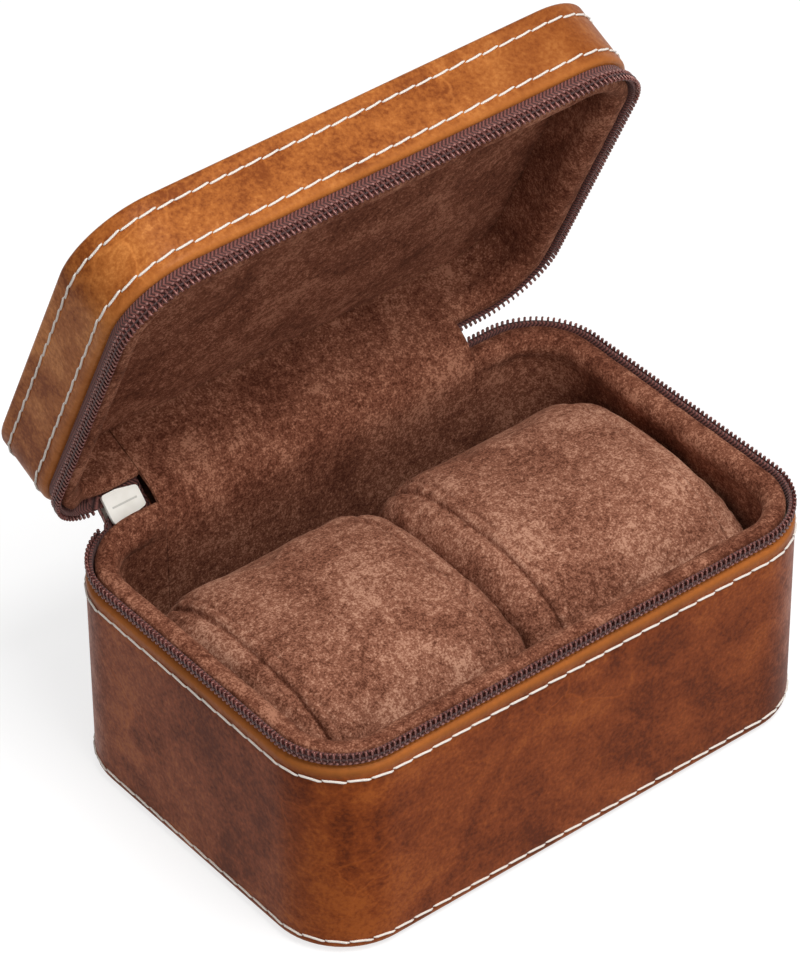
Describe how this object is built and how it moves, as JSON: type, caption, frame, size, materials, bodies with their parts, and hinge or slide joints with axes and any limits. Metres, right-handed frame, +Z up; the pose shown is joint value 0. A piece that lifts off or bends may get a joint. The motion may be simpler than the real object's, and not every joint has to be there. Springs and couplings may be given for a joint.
{
  "type": "zip-up travel case",
  "caption": "Leather-covered travel case with a zip round three sides, a hinged lid, a suede lining and lift-out cushions.",
  "frame": {"origin": "middle of the face that the case stands on", "axes": "+X along the width, +Y towards the hinge at the back, +Z up"},
  "size_m": [0.1282, 0.1089, 0.1387],
  "materials": {
    "leather": "tan pull-up leather, satin, with darker mottling",
    "suede": "brown suede, matt",
    "board": "grey-brown case board, matt",
    "foam": "cream foam, matt",
    "zip_tape": "dark brown woven tape",
    "zip_teeth": "dark brown nylon coil",
    "zip_metal": "satin nickel"
  },
  "bodies": {
    "base": {"base_foot_panel": "leather", "base_filler_card": "board", "base_wall_leather": "leather", "base_floor_board": "board", "base_wall_board": "board", "base_floor_lining": "suede", "base_wall_lining": "suede", "base_lip_foam": "foam", "base_zip_tape": "zip_tape", "base_zip_teeth": "zip_teeth", "base_top_stop": "zip_metal", "hinge_leather": "leather", "hinge_lining": "suede"},
    "lid": {"lid_top_leather": "leather", "lid_wall_leather": "leather", "lid_top_board": "board", "lid_wall_board": "board", "lid_top_foam": "foam", "lid_top_lining": "suede", "lid_wall_lining": "suede", "lid_lip_foam": "foam", "lid_zip_tape": "zip_tape", "lid_zip_teeth": "zip_teeth", "lid_top_stop": "zip_metal"},
    "zip_end": {"zip_end_tape": "zip_tape", "zip_end_teeth": "zip_teeth", "zip_bottom_stop": "zip_metal"},
    "slider": {"zip_slider": "zip_metal"},
    "pull": {"zip_pull": "zip_metal"},
    "cushion_left": {"cushion_left_foam": "foam", "cushion_left_sleeve": "suede", "cushion_left_outer_cap": "suede", "cushion_left_inner_cap": "suede"},
    "cushion_right": {"cushion_right_foam": "foam", "cushion_right_sleeve": "suede", "cushion_right_outer_cap": "suede", "cushion_right_inner_cap": "suede"}
  },
  "joints": [
    {"name": "lid_hinge", "type": "hinge", "parent": "base", "child": "lid", "pos_m": [0, 0.0445, 0.04905], "axis": [-1, 0, 0], "range_deg": [-65.5, 35], "deforming": ["hinge_leather", "hinge_lining"]},
    {"name": "zip_end_tilt", "type": "hinge", "parent": "base", "child": "zip_end", "pos_m": [0, 0.0445, 0.04905], "axis": [-1, 0, 0], "range_deg": [-45.9, 24.55]},
    {"name": "slider_run", "type": "slide", "parent": "zip_end", "child": "slider", "axis": [-1, 0, 0], "range_m": [0, 0.002]},
    {"name": "pull_swing", "type": "hinge", "parent": "slider", "child": "pull", "pos_m": [-0.0456, 0.04724, 0.05018], "axis": [0, 0.7175, 0.6965], "range_deg": [0, 175]},
    {"name": "cushion_left_lift", "type": "slide", "parent": "base", "child": "cushion_left", "axis": [0, 0, 1], "range_m": [0, 0.052]},
    {"name": "cushion_right_lift", "type": "slide", "parent": "base", "child": "cushion_right", "axis": [0, 0, 1], "range_m": [0, 0.052]}
  ],
  "couplings": [
    {"joint": "zip_end_tilt", "follows": "lid_hinge", "ratio": 0.7}
  ]
}
